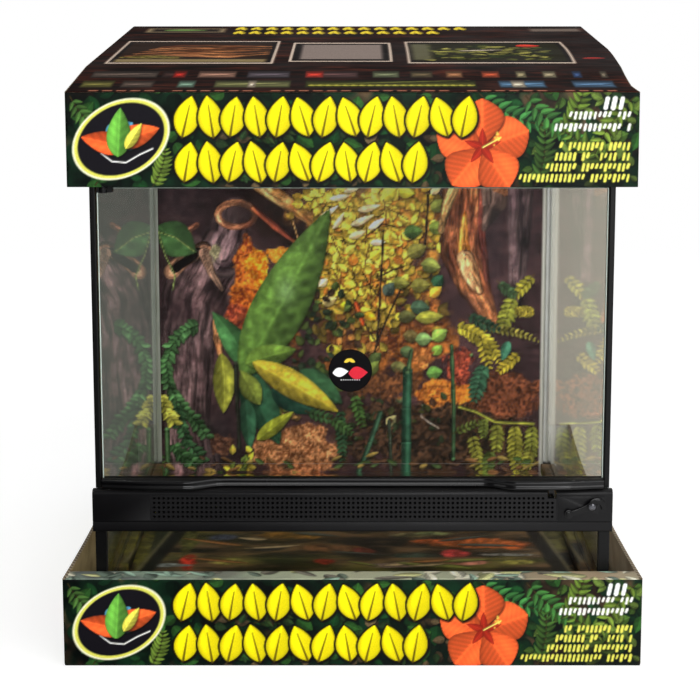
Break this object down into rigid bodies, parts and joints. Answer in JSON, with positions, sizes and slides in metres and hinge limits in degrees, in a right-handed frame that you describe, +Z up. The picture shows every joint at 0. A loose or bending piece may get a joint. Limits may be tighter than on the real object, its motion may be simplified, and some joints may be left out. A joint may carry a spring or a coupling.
{
  "type": "reptile terrarium",
  "caption": "Cubic front-opening glass reptile tank with a vented front panel, hinged door, screen lid and cable gates, packed in a printed tray and cap.",
  "frame": {"origin": "centre of the tray's underside", "axes": "+Z up, the door faces -Y, +X to the right seen from the front"},
  "size_m": [0.513, 0.505, 0.543],
  "materials": {
    "printed_board": "satin printed board",
    "packing_foam": "white foam sheet",
    "black_moulding": "satin moulded",
    "rail_moulding": "semi-gloss moulded",
    "grille_black": "satin moulded",
    "glass": "clear, green-edged",
    "silicone": "translucent",
    "black_trim": "semi-gloss",
    "steel": "plated",
    "backdrop_print": "printed",
    "latch_black": "satin moulded",
    "screen_wire": "black coated wire",
    "spline_rubber": "matt"
  },
  "bodies": {
    "tray": {"bottom_tray": "printed_board", "bottom_pad": "packing_foam"},
    "tank": {"base_frame": "black_moulding", "floor_glass": "glass", "floor_card": "backdrop_print", "left_glass": "glass", "right_glass": "glass", "rear_glass": "glass", "lower_front_glass": "glass", "silicone_beads": "silicone", "left_post": "black_trim", "right_post": "black_trim", "lower_left_trim": "black_trim", "lower_right_trim": "black_trim", "vent_panel": "black_moulding", "vent_grille": "grille_black", "top_frame": "black_moulding", "hinge_pins": "steel", "lock_screws": "steel", "backdrop_sheet": "backdrop_print"},
    "door": {"door_glass": "glass", "door_rail": "rail_moulding", "door_catch": "latch_black", "door_top_clip": "rail_moulding"},
    "latch": {"latch_lever": "latch_black", "latch_cam": "latch_black", "latch_screw": "steel"},
    "lid": {"lid_frame": "black_moulding", "lid_screen": "screen_wire", "lid_spline": "spline_rubber"},
    "lock_left": {"lid_lock_left": "latch_black"},
    "lock_right": {"lid_lock_right": "latch_black"},
    "gate_left": {"inlet_gate_left": "latch_black"},
    "gate_right": {"inlet_gate_right": "latch_black"},
    "cap": {"top_cap": "printed_board", "cap_foam": "packing_foam"}
  },
  "joints": [
    {"name": "tank_lift", "type": "slide", "parent": "tray", "child": "tank", "axis": [0, 0, 1], "range_m": [0, 0.1]},
    {"name": "door_swing", "type": "hinge", "parent": "tank", "child": "door", "pos_m": [-0.2158, -0.2312, 0.29], "axis": [0, 0, 1], "range_deg": [-110, 0]},
    {"name": "latch_turn", "type": "hinge", "parent": "tank", "child": "latch", "pos_m": [0.2117, -0.237, 0.1434], "axis": [0, 1, 0], "range_deg": [0, 22]},
    {"name": "lid_lift", "type": "slide", "parent": "tank", "child": "lid", "axis": [0, 0, 1], "range_m": [0, 0.08]},
    {"name": "lock_left_turn", "type": "hinge", "parent": "tank", "child": "lock_left", "pos_m": [-0.12, -0.226, 0.4837], "axis": [0, 0, 1], "range_deg": [0, 90]},
    {"name": "lock_right_turn", "type": "hinge", "parent": "tank", "child": "lock_right", "pos_m": [0.12, -0.226, 0.4837], "axis": [0, 0, 1], "range_deg": [-90, 0]},
    {"name": "gate_left_slide", "type": "slide", "parent": "tank", "child": "gate_left", "axis": [1, 0, 0], "range_m": [0, 0.04]},
    {"name": "gate_right_slide", "type": "slide", "parent": "tank", "child": "gate_right", "axis": [-1, 0, 0], "range_m": [0, 0.04]},
    {"name": "cap_lift", "type": "slide", "parent": "lid", "child": "cap", "axis": [0, 0, 1], "range_m": [0, 0.12]}
  ]
}
